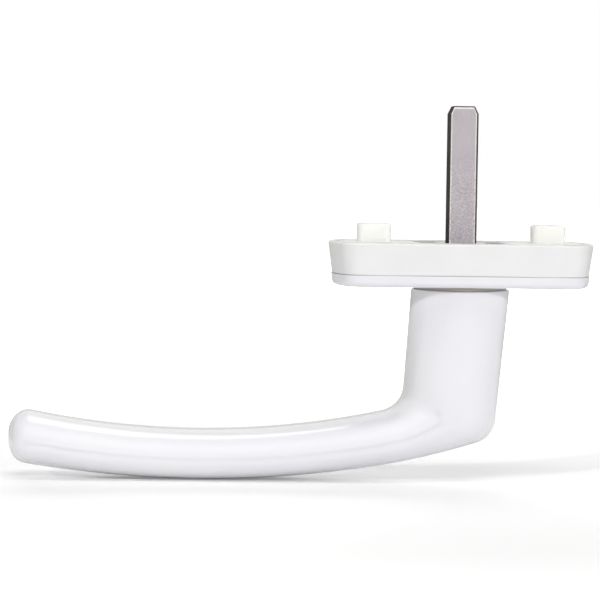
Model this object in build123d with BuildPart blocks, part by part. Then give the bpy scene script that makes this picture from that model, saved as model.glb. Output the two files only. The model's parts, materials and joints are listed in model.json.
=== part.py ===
from build123d import *
import os
from math import asin, cos, hypot, radians, sin, sqrt, tan

# Awning window handle: a cast lever that turns a square spindle in an oblong rose.
# The origin is on the spindle's axis in the rose's back face, which lies on the sash.
# +Z runs along the spindle into the sash, and the lever points to -X.
# Depths are measured from the sash face into the room, so a depth of 5 is at Z = -5.

# Fixing to the sash
screw_spacing = 43.0
screw_hole_diameter = 5.3
screw_head_diameter = 9.6
screw_head_angle = 90.0
lug_size = 8.0
lug_height = 4.4
lug_corner_radius = 1.3
lug_edge_radius = 0.5

# Square spindle
spindle_size = 7.0
spindle_reach = 33.4
spindle_grip = 32.0
spindle_edge_radius = 0.3
spindle_tip_inset = 0.95
spindle_tip_length = 1.9
spindle_clearance = 0.05
socket_end_gap = 0.3
pin_diameter = 3.0
pin_depth = 8.2
pin_end_recess = 0.2
pin_clearance = 0.02

# Rose shell
base_length = 65.3
base_width = 29.0
base_height = 7.8
base_draft = 7.3
end_radius = 28.0
corner_radius = 5.0
base_wall = 2.2
web_thickness = 3.0
rim_radius = 0.5
shadow_chamfer = 0.2

# Lug carrier in the back of the shell
carrier_clearance = 0.1
carrier_rim = 0.4

# Cover plate on the front of the shell
cover_height = 2.85
cover_proud = 0.2
cover_gap = 0.05
cover_wall = 1.5
cover_skin = 1.4
cover_edge_radius = 1.4
cover_boss_diameter = 26.0
cover_clearance = 0.1

# Bush and journal
journal_diameter = 16.0
journal_clearance = 0.05
bush_wall = 1.45
flange_diameter = 22.8
flange_thickness = 0.65
flange_gap = 0.06

# Detent
cam_across_flats = 17.0
cam_across_corners = 19.0
cam_height = 2.4
cam_gap = 0.1
tang_diameter = 13.0
tang_across_flats = 11.0
tang_clearance = 0.05
tang_recess = 0.1
spring_length = 22.0
spring_thickness = 0.4
spring_height = 2.2
spring_gap = 0.02
spring_slot_clearance = 0.06

# Retaining ring and its washer
circlip_thickness = 0.8
circlip_outer_diameter = 17.6
circlip_groove_depth = 0.5
circlip_mouth = 5.0
circlip_clearance = 0.04
disc_outer_diameter = 18.6
disc_thickness = 0.35
disc_cone_height = 0.2
disc_clearance = 0.15

# Neck of the lever
neck_gap = 0.1
neck_left = -12.1
neck_right = 12.25
neck_depth = 20.0
neck_foot_left = -13.9
neck_foot_right = 8.85
neck_edge_radius = 0.4

# Grip of the lever
lever_reach = 110.5
lever_low_x = -63.45
lever_low_depth = 46.58
lever_thickness = 12.24
lever_width = 19.4
tip_width = 17.6
back_radius = 209.0
front_radius = 272.0
front_join_x = -25.0
front_corner_drop = 1.52
inner_bend_radius = 6.6
outer_bend_radius = 6.5
nose_back_length = 5.5
nose_back_power = 1.8
nose_front_length = 5.0
nose_front_power = 2.8
nose_side_length = 6.0
nose_side_power = 2.5

# Section of the lever: where its widest line lies between back and front, as a share of
# the thickness, and how far each quarter's curve runs along its sides before it turns
round_section = {"crest": 0.5, "back": 0.552, "inner": 0.552, "outer": 0.552, "front": 0.552}
grip_section = {"crest": 0.63, "back": 0.92, "inner": 0.34, "outer": 0.5, "front": 0.78}

# Stations along the lever
neck_stations = 8
bend_stations = 12
grip_stations = 24
nose_shares = (0.8, 0.61, 0.44, 0.29, 0.17, 0.08, 0.025)

# Sizes that follow from those above
pocket_depth = base_height - web_thickness
carrier_thickness = pocket_depth - carrier_clearance
carrier_inset = base_wall + carrier_clearance
mechanism_bore = base_width - 2 * carrier_inset - 2 * carrier_rim
cover_inset = base_height * tan(radians(base_draft)) - cover_proud
cover_back_depth = base_height + cover_gap
cover_front_depth = cover_back_depth + cover_height
bush_bore = journal_diameter + 2 * journal_clearance
bush_diameter = bush_bore + 2 * bush_wall
flange_depth = cover_front_depth + flange_gap
neck_top_depth = flange_depth + flange_thickness + neck_gap
cam_front_depth = pocket_depth - cam_gap
cam_back_depth = cam_front_depth - cam_height
spring_back_depth = cam_front_depth - spring_height
spring_offset = cam_across_flats / 2 + spring_gap + spring_thickness / 2
disc_back_depth = cam_back_depth - disc_thickness - disc_cone_height
circlip_back_depth = disc_back_depth - circlip_clearance - circlip_thickness
groove_diameter = tang_diameter - 2 * circlip_groove_depth
socket_size = spindle_size + 2 * spindle_clearance
front_low_depth = lever_low_depth + lever_thickness
front_corner_depth = lever_low_depth + front_corner_drop

os.makedirs("parts", exist_ok=True)

# Sketch plane on the sash face that looks into the room, so that its offsets are depths
room_side = Plane(origin=(0, 0, 0), x_dir=(1, 0, 0), z_dir=(0, 0, -1))


def rose_plan(inset):
    """The rose's oblong plan, smaller all round by the inset."""
    half_length = base_length / 2
    half_width = base_width / 2
    shoulder = half_length - end_radius + sqrt(end_radius**2 - half_width**2)
    with BuildSketch() as plan:
        with BuildLine():
            Line((-shoulder, -half_width), (shoulder, -half_width))
            ThreePointArc((shoulder, -half_width), (half_length, 0), (shoulder, half_width))
            Line((shoulder, half_width), (-shoulder, half_width))
            ThreePointArc((-shoulder, half_width), (-half_length, 0), (-shoulder, -half_width))
        make_face()
        fillet(plan.vertices(), corner_radius)
        if inset:
            offset(amount=-inset)
    return plan.sketch


def double_d(diameter, across_flats):
    """A round with two flats, which face along Y."""
    with BuildSketch() as plan:
        Circle(diameter / 2)
        Rectangle(diameter, across_flats, mode=Mode.INTERSECT)
    return plan.sketch


# Base shell: a drafted tray, open to the sash, with a web in front that takes the screws
with BuildPart() as base_shell:
    with BuildSketch(room_side):
        add(rose_plan(0))
    extrude(amount=base_height, taper=base_draft)
    fillet(base_shell.faces().sort_by(Axis.Z)[-1].edges(), rim_radius)
    chamfer(base_shell.faces().sort_by(Axis.Z)[0].edges(), shadow_chamfer)
    with BuildSketch(room_side):
        add(rose_plan(base_wall))
    extrude(amount=pocket_depth, mode=Mode.SUBTRACT)
    with BuildSketch(room_side.offset(pocket_depth)):
        Circle(bush_diameter / 2)
    extrude(amount=web_thickness, mode=Mode.SUBTRACT)
    with Locations(room_side.offset(base_height)):
        with GridLocations(screw_spacing, 0, 2, 1):
            CounterSinkHole(
                screw_hole_diameter / 2,
                screw_head_diameter / 2,
                depth=base_height,
                counter_sink_angle=screw_head_angle,
            )
base_shell.part.label = "base_shell"
export_step(base_shell.part, "parts/base_shell.step")

# Lug carrier: an insert that fills the tray, with a lug round each screw hole, a round
# opening for the detent and slots for the ends of the leaf springs
with BuildPart() as lug_carrier:
    with BuildSketch(room_side):
        add(rose_plan(carrier_inset))
    extrude(amount=carrier_thickness)
    with BuildSketch():
        with GridLocations(screw_spacing, 0, 2, 1):
            RectangleRounded(lug_size, lug_size, lug_corner_radius)
    extrude(amount=lug_height)
    lug_tops = lug_carrier.faces().filter_by(Axis.Z).group_by(Axis.Z)[-1]
    fillet(lug_tops.edges(), lug_edge_radius)
    with BuildSketch(room_side):
        Circle(mechanism_bore / 2)
    extrude(amount=carrier_thickness, mode=Mode.SUBTRACT)
    with BuildSketch(room_side.offset(spring_back_depth - spring_slot_clearance)):
        with GridLocations(0, 2 * spring_offset, 1, 2):
            Rectangle(
                spring_length + 2 * spring_slot_clearance,
                spring_thickness + 2 * spring_slot_clearance,
            )
    extrude(amount=spring_height + cam_gap + 2 * spring_slot_clearance, mode=Mode.SUBTRACT)
    with Locations(Plane.XY.offset(lug_height)):
        with GridLocations(screw_spacing, 0, 2, 1):
            Hole(screw_hole_diameter / 2)
lug_carrier.part.label = "lug_carrier"
export_step(lug_carrier.part, "parts/lug_carrier.step")

# Cover plate: a shallow cap with a boss round the bush, hollow over the screw heads
with BuildPart() as cover_plate:
    with BuildSketch(room_side.offset(cover_back_depth)):
        add(rose_plan(cover_inset))
    extrude(amount=cover_height, taper=base_draft)
    fillet(cover_plate.faces().sort_by(Axis.Z)[0].edges(), cover_edge_radius)
    with BuildSketch(room_side.offset(cover_back_depth)):
        add(rose_plan(cover_inset + cover_wall))
        Circle(cover_boss_diameter / 2, mode=Mode.SUBTRACT)
    extrude(amount=cover_height - cover_skin, mode=Mode.SUBTRACT)
    with BuildSketch(room_side.offset(cover_back_depth)):
        Circle(bush_diameter / 2 + cover_clearance)
    extrude(amount=cover_height, mode=Mode.SUBTRACT)
cover_plate.part.label = "cover_plate"
export_step(cover_plate.part, "parts/cover_plate.step")

# Bearing bush: pressed into the web, with a flange that keeps the cover plate on
with BuildPart() as bearing_bush:
    with BuildSketch(room_side.offset(pocket_depth)):
        Circle(bush_diameter / 2)
    extrude(amount=flange_depth - pocket_depth)
    with BuildSketch(room_side.offset(flange_depth)):
        Circle(flange_diameter / 2)
    extrude(amount=flange_thickness)
    Hole(bush_bore / 2)
bearing_bush.part.label = "bearing_bush"
export_step(bearing_bush.part, "parts/bearing_bush.step")


def along(rail, run):
    """The point at a run of so many millimetres along a rail."""
    return rail.position_at(run, position_mode=PositionMode.LENGTH)


def arc_z(x, low_depth, radius):
    """Height of a hollow arc with its lowest point under the middle of the grip."""
    return radius - low_depth - sqrt(radius**2 - (x - lever_low_x) ** 2)


def ease(share):
    """A smooth step from 0 to 1."""
    return share * share * (3 - 2 * share)


def blend(start, end, share):
    """A value that lies a share of the way from start to end."""
    return start + (end - start) * share


# Back rail: down the neck's left side, round the inner bend and along the grip's back
back_foot = (neck_foot_left, arc_z(neck_foot_left, lever_low_depth, back_radius))
with BuildLine(Plane.XZ) as back_rail:
    Line((neck_left, -neck_top_depth), back_foot)
    ThreePointArc(
        back_foot,
        (lever_low_x, -lever_low_depth),
        (-lever_reach, arc_z(-lever_reach, lever_low_depth, back_radius)),
    )
    corner = Plane.XZ.from_local_coords(Vector(*back_foot))
    fillet(back_rail.vertices().sort_by_distance(corner)[0], inner_bend_radius)

# Front rail: down the neck's right side, round the outer bend and along the grip's front,
# which curves a little more tightly near the bend
front_foot = (neck_foot_right, -front_corner_depth)
front_join = (front_join_x, arc_z(front_join_x, front_low_depth, front_radius))
join_slope = asin((front_join_x - lever_low_x) / front_radius)
with BuildLine(Plane.XZ) as front_rail:
    Line((neck_right, -neck_top_depth), front_foot)
    TangentArc(
        front_foot,
        front_join,
        tangent=(cos(join_slope), sin(join_slope)),
        tangent_from_first=False,
    )
    ThreePointArc(
        front_join,
        (lever_low_x, -front_low_depth),
        (-lever_reach, arc_z(-lever_reach, front_low_depth, front_radius)),
    )
    corner = Plane.XZ.from_local_coords(Vector(*front_foot))
    fillet(front_rail.vertices().sort_by_distance(corner)[0], outer_bend_radius)

back_line = back_rail.wire()
front_line = front_rail.wire()

# The rails are matched in three runs: neck, bend and grip
back_neck_run, back_bend_run, grip_run = (edge.length for edge in back_line.order_edges())
neck_drop = along(back_line, 0).Z - along(back_line, back_neck_run).Z
front_neck_side = hypot(neck_right - neck_foot_right, front_corner_depth - neck_top_depth)
front_neck_run = front_neck_side * neck_drop / (front_corner_depth - neck_top_depth)
front_bend_run = front_line.length - front_neck_run - grip_run


def nose_share(rest, length, power):
    """How much of the full size is left at a rest of so many millimetres before the tip."""
    return (1 - max(0, 1 - rest / length) ** power) ** (1 / power)


stations = []


def add_station(back_run, front_run, width, grip_share):
    """Place a section of the lever between two points of its rails."""
    back = along(back_line, back_run)
    front = along(front_line, front_run)
    middle = (back + front) / 2
    rest = back_line.length - back_run
    stations.append(
        {
            "back": middle + (back - middle) * nose_share(rest, nose_back_length, nose_back_power),
            "front": middle + (front - middle) * nose_share(rest, nose_front_length, nose_front_power),
            "half_width": width / 2 * nose_share(rest, nose_side_length, nose_side_power),
            "shape": {
                key: blend(round_section[key], grip_section[key], grip_share) for key in round_section
            },
        }
    )


for i in range(neck_stations):
    share = i / neck_stations
    add_station(share * back_neck_run, share * front_neck_run, neck_depth, 0)
for i in range(bend_stations):
    share = i / bend_stations
    add_station(
        back_neck_run + share * back_bend_run,
        front_neck_run + share * front_bend_run,
        blend(neck_depth, lever_width, ease(share)),
        ease(share),
    )
straight_run = grip_run - nose_side_length
grip_places = [straight_run * i / grip_stations for i in range(grip_stations + 1)]
for run in grip_places + [grip_run - share * nose_side_length for share in nose_shares]:
    add_station(
        back_line.length - grip_run + run,
        front_line.length - grip_run + run,
        blend(lever_width, tip_width, run / grip_run),
        1,
    )

# Lever: one skin over all its stations, with a journal, a tang for the cam and a socket
with BuildPart() as lever:
    for station in stations:
        across = station["front"] - station["back"]
        thickness = across.length
        half_width = station["half_width"]
        shape = station["shape"]
        crest = shape["crest"] * thickness
        rest = thickness - crest
        with BuildSketch(Plane(station["back"], (0, 1, 0), Vector(0, 1, 0).cross(across))):
            with BuildLine():
                Bezier(
                    (0, 0),
                    (shape["back"] * half_width, 0),
                    (half_width, crest - shape["inner"] * crest),
                    (half_width, crest),
                )
                Bezier(
                    (half_width, crest),
                    (half_width, crest + shape["outer"] * rest),
                    (shape["front"] * half_width, thickness),
                    (0, thickness),
                )
                mirror(about=Plane.YZ)
            make_face()
    loft()
    fillet(lever.faces().sort_by(Axis.Z)[-1].edges(), neck_edge_radius)
    with BuildSketch(room_side.offset(pocket_depth)):
        Circle(journal_diameter / 2)
    extrude(amount=neck_top_depth - pocket_depth)
    with BuildSketch(room_side.offset(tang_recess)):
        add(double_d(tang_diameter, tang_across_flats))
    extrude(amount=pocket_depth - tang_recess)
    with BuildSketch(room_side.offset(circlip_back_depth - circlip_clearance)):
        Circle(tang_diameter / 2)
        Circle(groove_diameter / 2, mode=Mode.SUBTRACT)
    extrude(amount=circlip_thickness + 2 * circlip_clearance, mode=Mode.SUBTRACT)
    with BuildSketch(room_side):
        Rectangle(socket_size, socket_size)
    extrude(amount=spindle_grip + socket_end_gap, mode=Mode.SUBTRACT)
    with Locations(Plane.XZ.offset(journal_diameter)):
        with Locations((0, -pin_depth)):
            Hole(pin_diameter / 2 + pin_clearance, depth=2 * journal_diameter)
lever.part.label = "lever"
export_step(lever.part, "parts/lever.step")

# Square spindle, with a tip that tapers on two sides and a cross hole for its pin
with BuildPart() as square_spindle:
    with BuildSketch(room_side.offset(spindle_grip)):
        Rectangle(spindle_size, spindle_size)
    extrude(amount=-(spindle_grip + spindle_reach))
    tip = square_spindle.faces().sort_by(Axis.Z)[-1]
    chamfer(tip.edges().filter_by(Axis.Y), spindle_tip_inset, spindle_tip_length, reference=tip)
    foot = square_spindle.faces().sort_by(Axis.Z)[0]
    fillet(square_spindle.edges() - foot.edges(), spindle_edge_radius)
    with Locations(Plane.XZ.offset(spindle_size)):
        with Locations((0, -pin_depth)):
            Hole(pin_diameter / 2 + pin_clearance, depth=2 * spindle_size)
square_spindle.part.label = "square_spindle"
export_step(square_spindle.part, "parts/square_spindle.step")

# Spindle pin, across the journal
with BuildPart() as spindle_pin:
    with BuildSketch(Plane.XZ):
        with Locations((0, -pin_depth)):
            Circle(pin_diameter / 2)
    extrude(amount=journal_diameter / 2 - pin_end_recess, both=True)
spindle_pin.part.label = "spindle_pin"
export_step(spindle_pin.part, "parts/spindle_pin.step")

# Detent cam: a square sleeve with round corners, which gives a click at each quarter turn
cam_corner_radius = (cam_across_flats / sqrt(2) - cam_across_corners / 2) / (sqrt(2) - 1)
with BuildPart() as detent_cam:
    with BuildSketch(room_side.offset(cam_back_depth)):
        RectangleRounded(cam_across_flats, cam_across_flats, cam_corner_radius)
        add(
            double_d(tang_diameter + 2 * tang_clearance, tang_across_flats + 2 * tang_clearance),
            mode=Mode.SUBTRACT,
        )
    extrude(amount=cam_height)
detent_cam.part.label = "detent_cam"
export_step(detent_cam.part, "parts/detent_cam.step")

# Leaf springs, one on each side of the cam
for name, side in (("detent_spring_front", -1), ("detent_spring_rear", 1)):
    with BuildPart() as detent_spring:
        with BuildSketch(Plane.XY.offset(-cam_front_depth)):
            with Locations((0, side * spring_offset)):
                Rectangle(spring_length, spring_thickness)
        extrude(amount=spring_height)
    detent_spring.part.label = name
    export_step(detent_spring.part, f"parts/{name}.step")

# Disc spring: a conical washer between the cam and the circlip
disc_inner_radius = tang_diameter / 2 + disc_clearance
disc_outer_radius = disc_outer_diameter / 2
with BuildPart() as disc_spring:
    with BuildSketch(Plane.XZ):
        with BuildLine():
            Polyline(
                (disc_outer_radius, -cam_back_depth),
                (disc_outer_radius, -cam_back_depth + disc_thickness),
                (disc_inner_radius, -disc_back_depth),
                (disc_inner_radius, -disc_back_depth - disc_thickness),
                close=True,
            )
        make_face()
    revolve(axis=Axis.Z)
disc_spring.part.label = "disc_spring"
export_step(disc_spring.part, "parts/disc_spring.step")

# Circlip: an open ring in the groove of the tang
with BuildPart() as circlip:
    with BuildSketch(room_side.offset(circlip_back_depth)):
        Circle(circlip_outer_diameter / 2)
        Circle(groove_diameter / 2 + circlip_clearance, mode=Mode.SUBTRACT)
        with Locations((circlip_outer_diameter / 2, 0)):
            Rectangle(circlip_outer_diameter, circlip_mouth, mode=Mode.SUBTRACT)
    extrude(amount=circlip_thickness)
circlip.part.label = "circlip"
export_step(circlip.part, "parts/circlip.step")
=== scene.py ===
# %% [markdown]
# # An awning window handle
# This lesson dresses a window handle that was already modelled to size: a white cast lever, an oblong
# rose with a cap, and a square steel spindle that goes into the lock gear of the window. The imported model
# comes in as a fixed frame, in metres. Its origin is on the spindle's axis in the back face of the rose,
# +Z runs along the spindle, and the lever points to -X.

# %% Load the frame
import json
from math import asin, atan2, cos, pi, radians, sin, sqrt

import bmesh
import bpy
from mathutils import Matrix, Vector


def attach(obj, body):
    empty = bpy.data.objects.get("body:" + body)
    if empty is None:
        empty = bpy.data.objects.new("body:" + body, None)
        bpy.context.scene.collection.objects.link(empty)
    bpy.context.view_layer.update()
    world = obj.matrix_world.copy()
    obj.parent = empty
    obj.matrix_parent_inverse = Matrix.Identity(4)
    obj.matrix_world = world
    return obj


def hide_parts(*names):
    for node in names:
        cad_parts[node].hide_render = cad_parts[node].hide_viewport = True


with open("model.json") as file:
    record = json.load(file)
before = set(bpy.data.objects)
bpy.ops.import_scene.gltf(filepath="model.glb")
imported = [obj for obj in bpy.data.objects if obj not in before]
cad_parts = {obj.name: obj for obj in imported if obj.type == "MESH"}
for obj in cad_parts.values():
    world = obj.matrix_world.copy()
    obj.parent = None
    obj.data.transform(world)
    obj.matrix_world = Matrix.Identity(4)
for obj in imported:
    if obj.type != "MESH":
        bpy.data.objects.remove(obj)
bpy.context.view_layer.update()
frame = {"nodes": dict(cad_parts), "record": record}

scene = bpy.context.scene
mm = 0.001
print("nodes:", ", ".join(frame["nodes"]))

# %% [markdown]
# ## Writing nodes as sums
# Materials and the lever's shape both need a good deal of arithmetic. Placing a Math node for each step
# by hand hides the formula, so two small classes let us write it as Python. A Wire is a socket that takes
# part in sums, and a Board is a node tree that adds any other node from its type, its settings and the
# values or links of its sockets. Geometry and shader trees share the same Math node, so both use them.

# %% Wire and Board
class Wire:
    """A socket in an expression: each operation adds a Math node to the tree."""

    def __init__(self, board, socket):
        self.board = board
        self.socket = socket

    def maths(self, operation, *values):
        """A Math node on these values."""
        sockets = dict(enumerate(values))
        return self.board.node("ShaderNodeMath", {"operation": operation}, sockets)

    def __add__(self, other):
        return self.maths("ADD", self, other)

    def __sub__(self, other):
        return self.maths("SUBTRACT", self, other)

    def __rsub__(self, other):
        return self.maths("SUBTRACT", other, self)

    def __mul__(self, other):
        return self.maths("MULTIPLY", self, other)

    def __truediv__(self, other):
        return self.maths("DIVIDE", self, other)

    def __rtruediv__(self, other):
        return self.maths("DIVIDE", other, self)

    def __pow__(self, other):
        return self.maths("POWER", self, other)

    def __abs__(self):
        return self.maths("ABSOLUTE", self)

    __radd__ = __add__
    __rmul__ = __mul__

    def also(self, name):
        """Another output of the same node."""
        return Wire(self.board, self.socket.node.outputs[name])

    def limited(self):
        """The value, kept between 0 and 1."""
        return self.maths("MINIMUM", self.maths("MAXIMUM", self, 0.0), 1.0)

    def step(self, low, high):
        """A soft step from 0 at low to 1 at high."""
        share = ((self - low) / (high - low)).limited()
        return share * share * (3.0 - 2.0 * share)


class Board:
    """A node tree that adds nodes by type, settings and sockets."""

    def __init__(self, tree):
        self.tree = tree

    def node(self, kind, settings=None, sockets=None, out=0):
        """Add a node, set it up and give back one of its outputs."""
        new = self.tree.nodes.new(kind)
        for key, value in (settings or {}).items():
            setattr(new, key, value)
        for key, value in (sockets or {}).items():
            if isinstance(value, Wire):
                self.tree.links.new(value.socket, new.inputs[key])
            else:
                new.inputs[key].default_value = value
        return Wire(self, new.outputs[out]) if len(new.outputs) else new


print("a Wire adds Math nodes, a Board adds the rest")

# %% [markdown]
# ## White powder coat
# The lever is an aluminium casting with a baked white coat. Such a coat is glossy, but it flows out
# before it sets, so its surface keeps a very shallow ripple about a millimetre across, which the trade
# calls orange peel. A flat white would look like paper. Three noises give the coat its ripple, slow clouds
# of tint and dullness, and specks of dust baked in. A clear layer carries the sharp reflections.

# %% Coat of the lever
def new_finish(name, **values):
    """A material with one Principled shader, its constant values set on its own sockets."""
    material = bpy.data.materials.new(name)
    material.use_nodes = True
    board = Board(material.node_tree)
    shader = material.node_tree.nodes["Principled BSDF"]
    for key, value in values.items():
        shader.inputs[key.replace("_", " ")].default_value = value
    return material, board, shader


def noise(board, size_mm, detail=2.0, stretch=(1.0, 1.0, 1.0)):
    """Noise from 0 to 1 on Object coordinates, with blobs of about that size."""
    place = board.node("ShaderNodeTexCoord", out="Object")
    scale = tuple(s / (size_mm * mm) for s in stretch)
    place = board.node("ShaderNodeMapping", {}, {"Vector": place, "Scale": scale})
    return board.node("ShaderNodeTexNoise", {}, {"Vector": place, "Scale": 1.0, "Detail": detail})


def tint(board, share, first, second):
    """A colour between two others."""
    pair = [colour if isinstance(colour, Wire) else (*colour, 1.0) for colour in (first, second)]
    return board.node("ShaderNodeMix", {"data_type": "RGBA"}, {0: share, 6: pair[0], 7: pair[1]}, out=2)


def link(board, shader, **wires):
    """Join what varies over the surface to the shader."""
    for key, wire in wires.items():
        board.tree.links.new(wire.socket, shader.inputs[key.replace("_", " ")])


def ripple(board, height, depth_mm, strength):
    """A Bump node whose height of 1 stands for that many millimetres."""
    sockets = {"Height": height, "Distance": depth_mm * mm, "Strength": strength}
    return board.node("ShaderNodeBump", {}, sockets)


white_coat, board, shader = new_finish(
    "baked_white_coat", Coat_Weight=1.0, Coat_Roughness=0.03, Coat_IOR=1.85, Specular_IOR_Level=0.4
)
cloud_range = (0.35, 0.65)
coat_tints = (0.795, 0.788, 0.828), (0.812, 0.806, 0.838)
dust_tint, dust_share = (0.70, 0.69, 0.68), 0.2
peel = noise(board, size_mm=1.4, detail=1.0)
cloud = noise(board, size_mm=22.0, detail=2.0)
speck = noise(board, size_mm=0.35, detail=0.0).step(0.72, 0.80)
coat_colour = tint(board, cloud.step(*cloud_range), *coat_tints)
link(
    board,
    shader,
    Base_Color=tint(board, speck * dust_share, coat_colour, dust_tint),
    Roughness=0.12 + 0.08 * cloud,
    Normal=ripple(board, peel, depth_mm=0.012, strength=0.12),
)
print("made", white_coat.name)

# %% [markdown]
# ## Moulded plastics
# The shell of the rose is a white moulding, satin rather than glossy, because its mould was lightly etched.
# The cap comes from a mould of its own and is a little bluer and glossier. The insert with the lugs is
# unpigmented nylon, creamier and duller, and milky enough for light to pass into its shaded edges. The bush
# and the cam inside are grey acetal and black nylon. All share one recipe: an etched grain as bump, a slow
# change of tint, and a roughness that follows both.

# %% Plastics
grain_strength = 0.4


def plastic(name, light, dark, roughness, grain_mm, grain_depth_mm, **values):
    """A moulded plastic with an etched grain and slow changes of tint and dullness."""
    material, board, shader = new_finish(name, **values)
    grain = noise(board, grain_mm, detail=3.0)
    cloud = noise(board, size_mm=14.0, detail=2.0)
    link(
        board,
        shader,
        Base_Color=tint(board, cloud.step(*cloud_range), light, dark),
        Roughness=roughness - 0.06 + 0.08 * cloud + 0.05 * grain,
        Normal=ripple(board, grain, grain_depth_mm, grain_strength),
    )
    return material


white_moulding = plastic(
    "etched_white_plastic",
    light=(0.80, 0.798, 0.80),
    dark=(0.78, 0.778, 0.785),
    roughness=0.24,
    grain_mm=0.25,
    grain_depth_mm=0.004,
    Specular_IOR_Level=0.5,
)
cap_white = plastic(
    "cap_white_plastic",
    light=(0.808, 0.801, 0.836),
    dark=(0.788, 0.781, 0.82),
    roughness=0.18,
    grain_mm=0.25,
    grain_depth_mm=0.003,
    Specular_IOR_Level=0.5,
)
cream_nylon = plastic(
    "cream_lug_nylon",
    light=(0.915, 0.910, 0.872),
    dark=(0.885, 0.880, 0.835),
    roughness=0.45,
    grain_mm=0.30,
    grain_depth_mm=0.004,
    Subsurface_Weight=1.0,
    Subsurface_Radius=(1.0, 1.0, 0.9),
    Subsurface_Scale=3.0 * mm,
)
acetal = plastic(
    "bush_acetal",
    light=(0.36, 0.34, 0.31),
    dark=(0.31, 0.29, 0.27),
    roughness=0.38,
    grain_mm=0.30,
    grain_depth_mm=0.006,
)
black_nylon = plastic(
    "cam_nylon",
    light=(0.035, 0.035, 0.04),
    dark=(0.05, 0.05, 0.055),
    roughness=0.50,
    grain_mm=0.20,
    grain_depth_mm=0.010,
)
print("made", ", ".join(m.name for m in (white_moulding, cap_white, cream_nylon, acetal, black_nylon)))

# %% [markdown]
# ## Zinc-plated bar
# The spindle is a drawn square bar with a thin dull zinc plate. Plating leaves a mottled grain of bright and
# dark flecks, stronger towards the rose. Drawing leaves faint lines along the bar. The long edges and a band
# below the end are painted bright, partly as handling wear and partly as painted highlight. The zones are
# found from the Object coordinates: near an edge, X comes close to half of the bar's width, which shrinks
# along the tapered tip. The narrow sides and the outermost edges are plated too, but carry painted shade:
# dark and dull, reaching a little further in on the right. The end is dark as well.

# %% Zones of the spindle
spindle_half, spindle_reach = 3.5 * mm, 33.4 * mm
tip_length, tip_inset = 1.9 * mm, 0.95 * mm
face_from, side_from, wear_and_highlight_from = (0.94, 0.98), (0.90, 0.925), (0.835, 0.865)
# dark_end: the very end of the bar is dark, without the plate's tint.
dark_end = spindle_reach - 0.35 * mm, spindle_reach - 0.25 * mm
# A bright band below the end: handling wear and painted highlight.
wear_and_highlight_end = spindle_reach - 0.8 * mm, spindle_reach - 0.6 * mm
grain_fades = 12.0 * mm, 25.0 * mm
# right_shade_wider moves the painted shade and the bright edge of the right side further in.
right_shade_wider, ragged_by = 0.05, 0.05

zinc_plate, board, shader = new_finish("mottled_zinc", Specular_IOR_Level=0.0)
place = board.node("ShaderNodeSeparateXYZ", {}, {"Vector": board.node("ShaderNodeTexCoord", out="Object")})
height = place.also("Z")
taper = ((height - spindle_reach) / tip_length + 1.0).limited()
across_x = abs(place) / (spindle_half - tip_inset * taper)
# On the right, the painted shade of the side reaches further in.
across_x = across_x + right_shade_wider * place.step(0.0, 1.0 * mm)
across_y = abs(place.also("Y")) / spindle_half
fleck = noise(board, size_mm=0.36, detail=2.0).step(0.35, 0.68)
lower = 1.0 - height.step(*grain_fades)
# plated marks the front and back faces below the end. The narrow sides and outermost edges are plated too,
# but get painted shade.
plated = across_y.step(*face_from) * (1.0 - across_x.step(*side_from))
plated = plated * (1.0 - height.step(*dark_end))
ragged = across_x + ragged_by * (fleck - 0.5) * lower
# Bright strips along the long edges and below the end: partly handling wear, partly painted highlight.
wear_and_highlight = ragged.step(*wear_and_highlight_from)
wear_and_highlight = plated * wear_and_highlight.maths("MAXIMUM", wear_and_highlight, height.step(*wear_and_highlight_end))
print("zones take", len(zinc_plate.node_tree.nodes), "nodes")

# %% Colours of the spindle
plate_tints = (0.50, 0.455, 0.48), (0.70, 0.65, 0.69)
# Tints of the painted shade on the narrow sides, streaked along the bar.
painted_side_shade_tints = (0.022, 0.019, 0.017), (0.11, 0.104, 0.10)
# Tint of the worn edges, which also carries a painted highlight.
wear_and_highlight_tint = (0.86, 0.835, 0.79)
pit_tint, pit_share = (0.12, 0.10, 0.10), 0.7

lines = noise(board, size_mm=0.35, detail=2.0, stretch=(1.0, 1.0, 0.04))
worn = noise(board, size_mm=5.0, detail=3.0)
pit = noise(board, size_mm=0.9, detail=0.0).step(0.80, 0.86)
mottle = 0.5 + (fleck - 0.5) * (0.12 + 0.75 * lower) + 0.15 * (lines - 0.5) + 0.5 * (worn - 0.5)
streaks = 0.5 + 1.2 * (lines - 0.5) + 0.9 * (worn - 0.5)
plate = tint(board, mottle.limited(), *plate_tints)
plate = tint(board, pit * pit_share, plate, pit_tint)
# The narrow sides and outermost edges take painted shade instead of the plate's tint.
painted_side_shade = tint(board, streaks.limited(), *painted_side_shade_tints)
plate = tint(board, plated, painted_side_shade, plate)
# The painted shade on the sides is not metallic, so no reflection lightens it.
link(
    board,
    shader,
    Base_Color=tint(board, wear_and_highlight, plate, wear_and_highlight_tint),
    Metallic=0.05 + 0.80 * plated - 0.50 * wear_and_highlight,
    Roughness=0.62 - 0.06 * fleck - 0.10 * wear_and_highlight + 0.06 * worn - 0.20 * plated,
    Normal=ripple(board, fleck * lower, depth_mm=0.010, strength=0.4),
)
print("made", zinc_plate.name)

# %% [markdown]
# ## Spring steel
# The leaf springs, the disc spring, the circlip and the pin are blued spring steel with a film of oil. They
# sit deep in the rose and show only from behind, so a brushed grain and a slow change of tint are enough.

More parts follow.
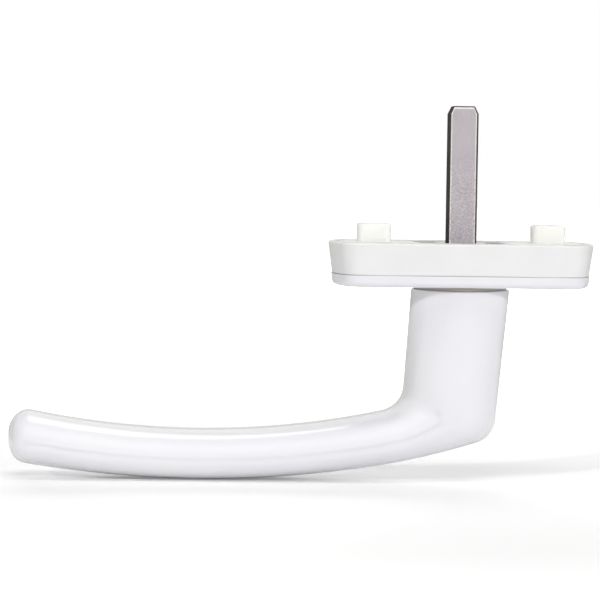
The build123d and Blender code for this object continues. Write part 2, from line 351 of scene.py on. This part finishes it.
# %% Springs
spring_steel, board, shader = new_finish("blued_spring_steel", Metallic=1.0)
blue_tints = (0.30, 0.31, 0.34), (0.22, 0.23, 0.27)
brushed = noise(board, size_mm=0.25, detail=2.0, stretch=(0.1, 1.0, 1.0))
film = noise(board, size_mm=3.0, detail=2.0)
link(
    board,
    shader,
    Base_Color=tint(board, film.step(*cloud_range), *blue_tints),
    Roughness=0.30 + 0.12 * brushed + 0.08 * film,
    Normal=ripple(board, brushed, depth_mm=0.006, strength=0.4),
)
print("made", spring_steel.name)

# %% [markdown]
# ## Dressing the frame
# The rose, the spindle and the small pieces keep the shape that they already have, because their fillets
# and clearances are right at this size. Each only takes its finish, by the name of its material slot. The
# cap shares its slot with the shell, so its own white is given by the name of the piece.

# %% Give the carried pieces their finish
by_slot = {
    "white_coat": white_coat,
    "white_moulding": white_moulding,
    "cream_nylon": cream_nylon,
    "acetal": acetal,
    "black_nylon": black_nylon,
    "zinc_plated_steel": zinc_plate,
    "spring_steel": spring_steel,
}
slot_of = {entry["node"]: entry["material_slot"] for entry in frame["record"]["subparts"]}
for name, node in frame["nodes"].items():
    node.data.materials.clear()
    node.data.materials.append(cap_white if name == "cover_plate" else by_slot[slot_of[name]])
print("dressed", len(slot_of), "nodes")

# %% [markdown]
# ## The lever's two rails
# A glossy white lever shows every facet in its reflections, so it is made again here as a finer skin by
# the rule that gives its shape. Two rails lie in its plane of symmetry: one down the left of the neck and
# along the back of the grip, the other down the right of the neck and along its front. Each is a straight
# side, a rounded corner and a shallow arc. The corner's centre is found from the line and the arc that it
# has to touch. A list of drawn points would do too, but a rule stays exact at any fineness. The sizes here
# are in millimetres.

# %% Rails
neck_top_depth = 11.51
neck_left, neck_right = -12.1, 12.25
neck_foot_left, neck_foot_right = -13.9, 8.85
lever_reach, lever_low_x, lever_low_depth, lever_thickness = 110.5, -63.45, 46.58, 12.228
back_radius, front_radius = 209.0, 272.0
front_join_x, front_corner_drop = -25.0, 1.52
inner_bend_radius, outer_bend_radius = 6.6, 6.5


def hollow_arc(low_depth, radius):
    """Centre of a shallow arc, and a function that gives the arc's point at X."""
    centre = Vector((lever_low_x, radius - low_depth))
    return centre, lambda x: Vector((x, centre.y - sqrt(radius**2 - (x - lever_low_x) ** 2)))


def straight(start, end):
    """A piece of rail: its length, and its point at a run."""
    length = (end - start).length
    return length, lambda run: start + (end - start) * (run / length)


def bend(centre, start, end):
    """A piece of rail along an arc from start to end."""
    radius = (start - centre).length
    first = atan2(start.y - centre.y, start.x - centre.x)
    sweep = atan2(end.y - centre.y, end.x - centre.x) - first
    length = abs(sweep) * radius

    def place(run):
        angle = first + sweep * run / length
        return centre + radius * Vector((cos(angle), sin(angle)))

    return length, place


def corner(start, end, centre, radius, corner_radius):
    """Side, rounded corner and the point where the corner reaches the arc."""
    along = (end - start).normalized()
    inward = Vector((along.y, -along.x)) * corner_radius
    offset = start + inward - centre
    half = offset.dot(along)
    run = -half + sqrt(half**2 - offset.dot(offset) + (radius - corner_radius) ** 2)
    side_end = start + along * run
    middle = side_end + inward
    arc_start = centre + (middle - centre) * (radius / (radius - corner_radius))
    return [straight(start, side_end), bend(middle, side_end, arc_start)], arc_start


back_centre, back_at = hollow_arc(lever_low_depth, back_radius)
back_rail, start = corner(
    Vector((neck_left, -neck_top_depth)), back_at(neck_foot_left), back_centre, back_radius, inner_bend_radius
)
back_rail.append(bend(back_centre, start, back_at(-lever_reach)))

front_centre, front_at = hollow_arc(lever_low_depth + lever_thickness, front_radius)
front_foot = Vector((neck_foot_right, -lever_low_depth - front_corner_drop))
front_join = front_at(front_join_x)
gap = front_join - front_foot
heel_radius = -gap.dot(gap) / (2 * gap.dot((front_centre - front_join) / front_radius))
heel_centre = front_join + (front_centre - front_join) * (heel_radius / front_radius)
front_top = Vector((neck_right, -neck_top_depth))
front_rail, start = corner(front_top, front_foot, heel_centre, heel_radius, outer_bend_radius)
front_rail += [bend(heel_centre, start, front_join), bend(front_centre, front_join, front_at(-lever_reach))]
print("rails in mm:", [round(sum(piece[0] for piece in rail), 2) for rail in (back_rail, front_rail)])

# %% [markdown]
# ## Stations along the lever
# A station pairs a point of the back rail with one of the front rail. Down the neck the pairs are level,
# round the bend they take equal shares of both rails, and along the grip they take equal lengths. The
# stations become the points of a small mesh that carries the rest of the rule as attributes: the width, how
# far the section has turned from round to flat, what is left to the tip, and the rounded lip of the neck.

# %% Stations
lip_steps, neck_steps, bend_steps, grip_steps, nose_steps = 8, 60, 90, 200, 40
neck_width, grip_width, tip_width = 20.0, 19.4, 17.6
nose_length, tip_flat, lip_radius = 6.0, 0.16, 0.4


def walk(rail, run):
    """The rail's point at a run from its start."""
    for length, place in rail[:-1]:
        if run <= length:
            return place(run)
        run -= length
    return rail[-1][1](run)


def ease(share):
    """A share from 0 to 1 that starts and ends gently."""
    return share * share * (3 - 2 * share)


back_neck, back_bend, grip_run = (piece[0] for piece in back_rail)
back_length = sum(piece[0] for piece in back_rail)
front_length = sum(piece[0] for piece in front_rail)
neck_drop = back_rail[0][1](0).y - back_rail[0][1](back_neck).y
front_neck = (front_foot - front_top).length * neck_drop / (front_top.y - front_foot.y)
front_bend = front_length - front_neck - grip_run
stations = []


def add_station(back_run, front_run, width, turned, inset=0.0, spread=1.0):
    """Note one section: a spread of 0 closes it to a point."""
    stations.append(
        {
            "back": walk(back_rail, back_run),
            "front": walk(front_rail, front_run),
            "width": width * mm,
            "turned": turned,
            "rest": (back_length - back_run) * mm,
            "inset": inset * mm,
            "spread": spread,
        }
    )


add_station(0, 0, neck_width, 0, lip_radius, 0.0)
for i in range(lip_steps + 1):
    quarter = pi / 2 * i / lip_steps
    dip = lip_radius * (1 - cos(quarter))
    add_station(dip, dip, neck_width, 0, lip_radius * (1 - sin(quarter)))
for i in range(1, neck_steps):
    share = i / neck_steps
    add_station(share * back_neck, share * front_neck, neck_width, 0)
for i in range(bend_steps):
    share = i / bend_steps
    width = neck_width + (grip_width - neck_width) * ease(share)
    add_station(back_neck + share * back_bend, front_neck + share * front_bend, width, ease(share))
grip_runs = [(grip_run - nose_length) * i / grip_steps for i in range(grip_steps)]
for i in range(nose_steps + 1):
    quarter = pi / 2 * i / nose_steps
    grip_runs.append(grip_run - tip_flat - (nose_length - tip_flat) * (1 - sin(quarter)))
for run in grip_runs:
    width = grip_width + (tip_width - grip_width) * run / grip_run
    add_station(back_length - grip_run + run, front_length - grip_run + run, width, 1)
add_station(back_length - tip_flat, front_length - tip_flat, tip_width, 1, 0.0, 0.0)

rails = bpy.data.meshes.new("lever_rails")
rails.from_pydata([(s["back"].x * mm, 0, s["back"].y * mm) for s in stations], [], [])
ahead = rails.attributes.new("front", "FLOAT_VECTOR", "POINT")
ahead.data.foreach_set("vector", [v * mm for s in stations for v in (s["front"].x, 0, s["front"].y)])
for key in ("width", "turned", "rest", "inset", "spread"):
    rails.attributes.new(key, "FLOAT", "POINT").data.foreach_set("value", [s[key] for s in stations])
print("stations:", len(stations))

# %% [markdown]
# ## The lever as a Geometry Nodes tree
# A loft in a mesh editor would need each section drawn. Here the whole skin is one flat grid that the tree
# bends into place: one direction of the grid counts the stations, the other goes once round the section.
# The tree's inputs are what someone might want to change: the rails, how fine the section is, the coat, and
# how far back from the tip its three roundings start.

# %% Tree inputs
tree = bpy.data.node_groups.new("lever_skin", "GeometryNodeTree")
tree.interface.new_socket("Rails", in_out="INPUT", socket_type="NodeSocketGeometry")
tree.interface.new_socket("Points round", in_out="INPUT", socket_type="NodeSocketInt")
tree.interface.new_socket("Coat", in_out="INPUT", socket_type="NodeSocketMaterial")
for name in ("Nose back", "Nose front", "Nose side"):
    tree.interface.new_socket(name, in_out="INPUT", socket_type="NodeSocketFloat")
tree.interface.new_socket("Skin", in_out="OUTPUT", socket_type="NodeSocketGeometry")
board = Board(tree)
given = tree.nodes.new("NodeGroupInput")
given = {socket.name: Wire(board, socket) for socket in given.outputs if socket.name}
print("inputs:", ", ".join(given))

# %% Grid, and what each of its points reads from the rails
count = board.node("GeometryNodeAttributeDomainSize", {"component": "MESH"}, {0: given["Rails"]})
grid = board.node(
    "GeometryNodeMeshGrid", {}, {0: 1.0, 1: 1.0, 2: count, 3: given["Points round"] + 1.0}
)
split = board.node("ShaderNodeSeparateXYZ", {}, {0: board.node("GeometryNodeInputPosition")})
station = (split + 0.5) * (count - 1.0)
station = station.maths("ROUND", station)
turn = split.also("Y") + 0.5


def at_station(value, data_type):
    """A value of the rails' mesh at the grid point's own station."""
    settings = {"data_type": data_type, "domain": "POINT"}
    return board.node("GeometryNodeSampleIndex", settings, {0: given["Rails"], 1: value, "Index": station})


def attribute(name, data_type="FLOAT"):
    """An attribute of the rails at the grid point's own station."""
    named = board.node("GeometryNodeInputNamedAttribute", {"data_type": data_type}, {"Name": name})
    return at_station(named, data_type)


def vectors(operation, first, second):
    """A Vector Math node on two values."""
    key = "Scale" if operation == "SCALE" else 1
    return board.node("ShaderNodeVectorMath", {"operation": operation}, {0: first, key: second})


back = at_station(board.node("GeometryNodeInputPosition"), "FLOAT_VECTOR")
front = attribute("front", "FLOAT_VECTOR")
across = vectors("SUBTRACT", front, back)
middle = vectors("SCALE", vectors("ADD", back, front), 0.5)
thickness = board.node("ShaderNodeVectorMath", {"operation": "LENGTH"}, {0: across}, out="Value")
width, turned, rest, inset, spread = (attribute(k) for k in ("width", "turned", "rest", "inset", "spread"))
print("nodes so far:", len(tree.nodes))

# %% [markdown]
# ## Section of the lever
# Each half of a section is two cubic curves that meet at the crest, its widest line. How far their handles
# reach decides whether the section is round, as in the neck, or has a flat back and a soft belly, as in the
# grip. Between the two the handles change with the turn that each station carries.

# %% Section rule
circle_handle = 0.552
round_section = dict.fromkeys(("back", "inner", "outer", "front"), circle_handle) | {"crest": 0.5}
grip_section = {"crest": 0.63, "back": 0.92, "inner": 0.34, "outer": 0.5, "front": 0.78}
shape = {key: low + (grip_section[key] - low) * turned for key, low in round_section.items()}


def cubic(t, p0, p1, p2, p3):
    """A cubic curve through p0 and p3 with handles p1 and p2."""
    s = 1.0 - t
    return s * s * s * p0 + 3.0 * s * s * t * p1 + 3.0 * s * t * t * p2 + t * t * t * p3


half_turn = 1.0 - abs(1.0 - 2.0 * turn)
inner = (2.0 * half_turn).limited()
outer = (2.0 * half_turn - 1.0).limited()
crest = shape["crest"]
sideways = cubic(inner, 0.0, shape["back"], 1.0, 1.0) * cubic(outer, 1.0, 1.0, shape["front"], 0.0)
forwards = cubic(inner, 0.0, 0.0, crest * (1.0 - shape["inner"]), crest)
forwards = forwards + cubic(outer, crest, crest + shape["outer"] * (1.0 - crest), 1.0, 1.0) - crest
side = 1.0 - 2.0 * turn.maths("GREATER_THAN", turn, 0.5)
print("nodes so far:", len(tree.nodes))

# %% [markdown]
# ## Nose of the lever
# The tip is rounded like a worn pebble. Cutting it with a fillet would leave a seam in the reflections, so
# three powers draw in the back, the front and the sides as the tip comes near, each from its own distance.

# %% Nose and skin
weld = 0.0005 * mm
back_power, front_power, side_power = 1.8, 2.8, 2.5


def nose(length, power):
    """Share of the full size that is left near the tip."""
    gone = (1.0 - rest / length).maths("MAXIMUM", 1.0 - rest / length, 0.0)
    return (1.0 - gone**power) ** (1.0 / power)


lip = 1.0 - 2.0 * inset / thickness
back_share = nose(given["Nose back"], back_power) * lip
front_share = nose(given["Nose front"], front_power) * lip
reach = ((back_share + front_share) * forwards - back_share) * 0.5 * spread
half_width = width * 0.5 * nose(given["Nose side"], side_power) - inset
offset = board.node("ShaderNodeCombineXYZ", {}, {"Y": side * sideways * half_width * spread})
place = vectors("ADD", vectors("ADD", middle, vectors("SCALE", across, reach)), offset)
skin = board.node("GeometryNodeSetPosition", {}, {"Geometry": grid, "Position": place})
skin = board.node("GeometryNodeMergeByDistance", {}, {"Geometry": skin, "Distance": weld})
skin = board.node("GeometryNodeSetShadeSmooth", {}, {"Geometry": skin})
skin = board.node("GeometryNodeRealizeInstances", {}, {"Geometry": skin})
skin = board.node("GeometryNodeSetMaterial", {}, {"Geometry": skin, "Material": given["Coat"]})
board.node("NodeGroupOutput", {}, {"Skin": skin})
print("nodes in the tree:", len(tree.nodes))

# %% Run the tree
rails_object = bpy.data.objects.new("lever_rails", rails)
scene.collection.objects.link(rails_object)
modifier = rails_object.modifiers.new("skin", "NODES")
modifier.node_group = tree
values = {
    "Points round": 128,
    "Coat": white_coat,
    "Nose back": 5.5 * mm,
    "Nose front": 5.0 * mm,
    "Nose side": 6.0 * mm,
}
for item in tree.interface.items_tree:
    if item.in_out == "INPUT" and item.name in values:
        modifier[item.identifier] = values[item.name]
evaluated = rails_object.evaluated_get(bpy.context.evaluated_depsgraph_get())
skin_mesh = bpy.data.meshes.new_from_object(evaluated)
rails_object.modifiers.remove(modifier)
bpy.data.objects.remove(rails_object)
print("skin:", len(skin_mesh.vertices), "points,", len(skin_mesh.polygons), "faces")

# %% [markdown]
# ## Journal and tang
# Above the neck the casting goes on inside the rose: a round journal that turns in the bush, then a tang
# with two flats for the detent cam and a groove for the circlip, all with a square socket for the spindle.
# It shows from behind. Each level of it is a ring of points at equal angles, whose radius is a circle's, a
# circle's with flats or a square's, so the rings join up point by point into one closed wall. New faces
# come without a finish, so in the end the whole casting takes the coat again.

# %% Rings of the journal
ring_points = 128
no_flats = 1000.0
journal_radius, tang_radius, groove_radius = 8.0, 6.5, 6.0
tang_half_flats, socket_half = 5.5, 3.55
casting_top, groove_top, groove_foot, tang_foot, journal_foot = 0.1, 0.87, 1.75, 4.8, 12.4


def round_with_flats(radius, half_flats=no_flats):
    """Radius by angle of a circle, cut by two flats where they come closer."""
    return lambda a: min(radius, half_flats / max(abs(sin(a)), 1e-6))


def square_hole(half):
    """Radius by angle of a square."""
    return lambda a: half / max(abs(cos(a)), abs(sin(a)))


def ring(depth, radius_at):
    """Points at equal angles round the spindle's axis, that deep below the rose's back."""
    angles = [2 * pi * (i + 0.5) / ring_points for i in range(ring_points)]
    return [Vector((radius_at(a) * cos(a), radius_at(a) * sin(a), -depth)) * mm for a in angles]


journal, socket = round_with_flats(journal_radius), square_hole(socket_half)
tang = round_with_flats(tang_radius, tang_half_flats)
groove = round_with_flats(groove_radius, tang_half_flats)
levels = [(journal_foot, journal), (tang_foot, journal), (tang_foot, tang)]
levels += [(groove_foot, tang), (groove_foot, groove), (groove_top, groove), (groove_top, tang)]
levels += [(casting_top, tang), (casting_top, socket), (journal_foot, socket)]
print("levels of the journal:", len(levels))

# %% Add the journal to the skin
sharp_from = radians(40)
bm = bmesh.new()
bm.from_mesh(skin_mesh)
loops = [[bm.verts.new(p) for p in ring(depth, radius_at)] for depth, radius_at in levels]
for first, second in zip(loops, loops[1:] + loops[:1]):
    for i in range(ring_points):
        j = (i + 1) % ring_points
        bm.faces.new((first[i], first[j], second[j], second[i])).smooth = True
bmesh.ops.remove_doubles(bm, verts=bm.verts, dist=weld)
bmesh.ops.recalc_face_normals(bm, faces=bm.faces)
for edge in bm.edges:
    if len(edge.link_faces) == 2 and edge.calc_face_angle() > sharp_from:
        edge.smooth = False
for face in bm.faces:
    face.material_index = 0
bm.to_mesh(skin_mesh)
bm.free()
skin_mesh.materials.clear()
skin_mesh.materials.append(white_coat)
lever_casting = bpy.data.objects.new("lever_casting", skin_mesh)
scene.collection.objects.link(lever_casting)
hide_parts("lever")
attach(lever_casting, "handle")
spans = [[point[axis] / mm for point in lever_casting.bound_box] for axis in range(3)]
print("lever casting in mm:", [(round(min(span), 2), round(max(span), 2)) for span in spans])

# %% [markdown]
# ## Table and paper
# The handle lies on a pale table, in front of white paper. The camera sees both as white, and the table glows
# least close to the handle, so the shadow stays. A glossy coat mirrors all that is round it, so reflections
# see more than the camera does: the shaded table under the lever, a duller room behind, and the dark edge of
# the table in front, which draws a thin grey line along the grip.

# %% Table
floor_z, table_size, table_white = -58.9 * mm, 6.0, (0.88, 0.88, 0.88, 1.0)
near_glow, glow_grows = 0.20, (0.12, 0.40)
shade_middle_x, shade_ends_x, shade_ends_y = -0.05, (0.065, 0.090), (0.012, 0.030)
duller_behind = (0.03, 0.20)
table_front, table_behind = (0.95, 0.95, 0.95), (0.48, 0.48, 0.43)
mirror_share = 0.8
black, white = (0.0, 0.0, 0.0), (1.0, 1.0, 1.0)

bpy.ops.mesh.primitive_plane_add(size=table_size, location=(0, 0, floor_z))
table = bpy.context.object
table.name = "table"
paper = bpy.data.materials.new("table_paper")
paper.use_nodes = True
paper.node_tree.nodes.clear()
board = Board(paper.node_tree)
path = board.node("ShaderNodeLightPath", out="Is Camera Ray")
seen = path.maths("MAXIMUM", path, path.also("Is Transmission Ray"))
spot = board.node("ShaderNodeTexCoord", out="Object")
away = board.node("ShaderNodeVectorMath", {"operation": "LENGTH"}, {0: spot}, out="Value")
glow = tint(board, seen * (near_glow + (1.0 - near_glow) * away.step(*glow_grows)), black, white)
glow = board.node("ShaderNodeEmission", {}, {"Color": glow, "Strength": 1.0})
lit = board.node("ShaderNodeBsdfDiffuse", {}, {"Color": table_white})
lit = board.node("ShaderNodeAddShader", {}, {0: lit, 1: glow})
spot = board.node("ShaderNodeSeparateXYZ", {}, {0: spot})
shaded = 1.0 - abs(spot - shade_middle_x).step(*shade_ends_x)
shaded = shaded * (1.0 - abs(spot.also("Y")).step(*shade_ends_y))
even = tint(board, spot.also("Y").step(*duller_behind), table_front, table_behind)
even = board.node("ShaderNodeEmission", {}, {"Color": even, "Strength": 1.0})
mirrored = path.also("Is Glossy Ray") * (mirror_share - mirror_share * shaded)
both = board.node("ShaderNodeMixShader", {}, {0: mirrored, 1: lit, 2: even})
board.node("ShaderNodeOutputMaterial", {}, {"Surface": both})
table.data.materials.append(paper)
print("table at", round(floor_z / mm, 1), "mm")

# %% Paper and room
front_until = (-0.3, 0.0)
edge_width, edge_foot, edge_top = (0.30, 0.60), (-0.02, 0.0), (0.10, 0.13)
room_top = (0.25, 0.50)
room_grey, edge_grey, room_light = (0.66, 0.66, 0.60), (0.05, 0.05, 0.05), (0.084, 0.083, 0.078)

world = bpy.data.worlds.new("white_paper")
scene.world = world
world.use_nodes = True
world.node_tree.nodes.clear()
board = Board(world.node_tree)
path = board.node("ShaderNodeLightPath", out="Is Camera Ray")
seen = path.maths("MAXIMUM", path, path.also("Is Transmission Ray"))
way = board.node("ShaderNodeSeparateXYZ", {}, {0: board.node("ShaderNodeTexCoord", out="Generated")})
lift = way.also("Z")
in_front = 1.0 - way.also("Y").step(*front_until)
table_edge = in_front * (1.0 - abs(way).step(*edge_width))
table_edge = table_edge * lift.step(*edge_foot) * (1.0 - lift.step(*edge_top))
room_behind = (1.0 - in_front) * (1.0 - lift.step(*room_top))
mirrored = tint(board, room_behind, white, room_grey)
mirrored = tint(board, table_edge, mirrored, edge_grey)
colour = tint(board, path.also("Is Glossy Ray"), room_light, mirrored)
colour = tint(board, seen, colour, white)
sky = board.node("ShaderNodeBackground", {}, {"Color": colour, "Strength": 1.0})
board.node("ShaderNodeOutputWorld", {}, {"Surface": sky})
print("paper made with", len(world.node_tree.nodes), "nodes")

# %% [markdown]
# ## Lamps
# Small lamps stand in front on both sides, a little higher than the camera, so the rose throws an arc of
# shadow on the top of the neck. Low, broad and high lamps in front fill up that light, and a soft one behind
# keeps the far sides white. A lamp overhead leaves the long streak along the grip. Most are kept out of
# reflections, because in a glossy coat each would show as a spot of its own.

# %% Lamps
lamp_aim = Vector((-0.03, 0, -0.02))
small = (0.05, 0.05)


def lamp(name, place, size, watts, in_reflections=False):
    """A lamp of that width and height that looks at the handle."""
    light = bpy.data.lights.new(name, "AREA")
    light.shape = "RECTANGLE"
    light.size, light.size_y = size
    light.energy = watts
    body = bpy.data.objects.new(name, light)
    body.location = place
    body.rotation_euler = (lamp_aim - body.location).to_track_quat("-Z", "Y").to_euler()
    body.visible_glossy = in_reflections
    scene.collection.objects.link(body)


lamp("left_front", (-0.986, -0.976, 0.470), small, 6.3)
lamp("right_front", (0.800, -1.115, 0.386), small, 3.6)
lamp("right_side", (1.25, -0.55, 0.20), small, 3.5)
lamp("low_front", (-0.05, -1.35, 0.05), (0.5, 0.1), 1.9)
lamp("soft_front", (-0.10, -1.10, 0.95), (1.6, 0.9), 1.6, in_reflections=True)
lamp("high_front", (0.05, -0.50, 1.25), (1.2, 0.6), 6.7)
lamp("soft_back", (-0.10, 1.15, 0.42), (1.0, 0.4), 9.0)
lamp("top_lamp", (0.25, 0.30, 1.20), (0.9, 0.8), 2.6, in_reflections=True)

# %% [markdown]
# ## Camera
# The camera stands where the handle's outline agrees with the photograph: about 65 cm in front, a little
# higher than the rose and rolled by less than one degree. Its focal length was found in pixels of the photo,
# so it is turned into millimetres of film here.

# %% Camera
photo_width, photo_focal, photo_slope = 600, 2652, 0.01466
film_width = 36.0
eye, target = Vector((-0.0706, -0.650, 0.023)), Vector((-0.0394, 0, -0.0147))
roll = asin(photo_slope)
forward = (target - eye).normalized()
right = forward.cross(Vector((0, 0, 1))).normalized()
up = right.cross(forward)
turned_right = right * cos(roll) + up * sin(roll)
turned_up = up * cos(roll) - right * sin(roll)
camera = bpy.data.objects.new("camera", bpy.data.cameras.new("camera"))
camera.data.sensor_width = film_width
camera.data.lens = photo_focal / photo_width * film_width
axes = Matrix((turned_right, turned_up, -forward)).transposed().to_4x4()
camera.matrix_world = Matrix.Translation(eye) @ axes
scene.collection.objects.link(camera)
scene.camera = camera
scene.view_settings.view_transform = "Standard"
print("lens in mm:", round(camera.data.lens, 1))
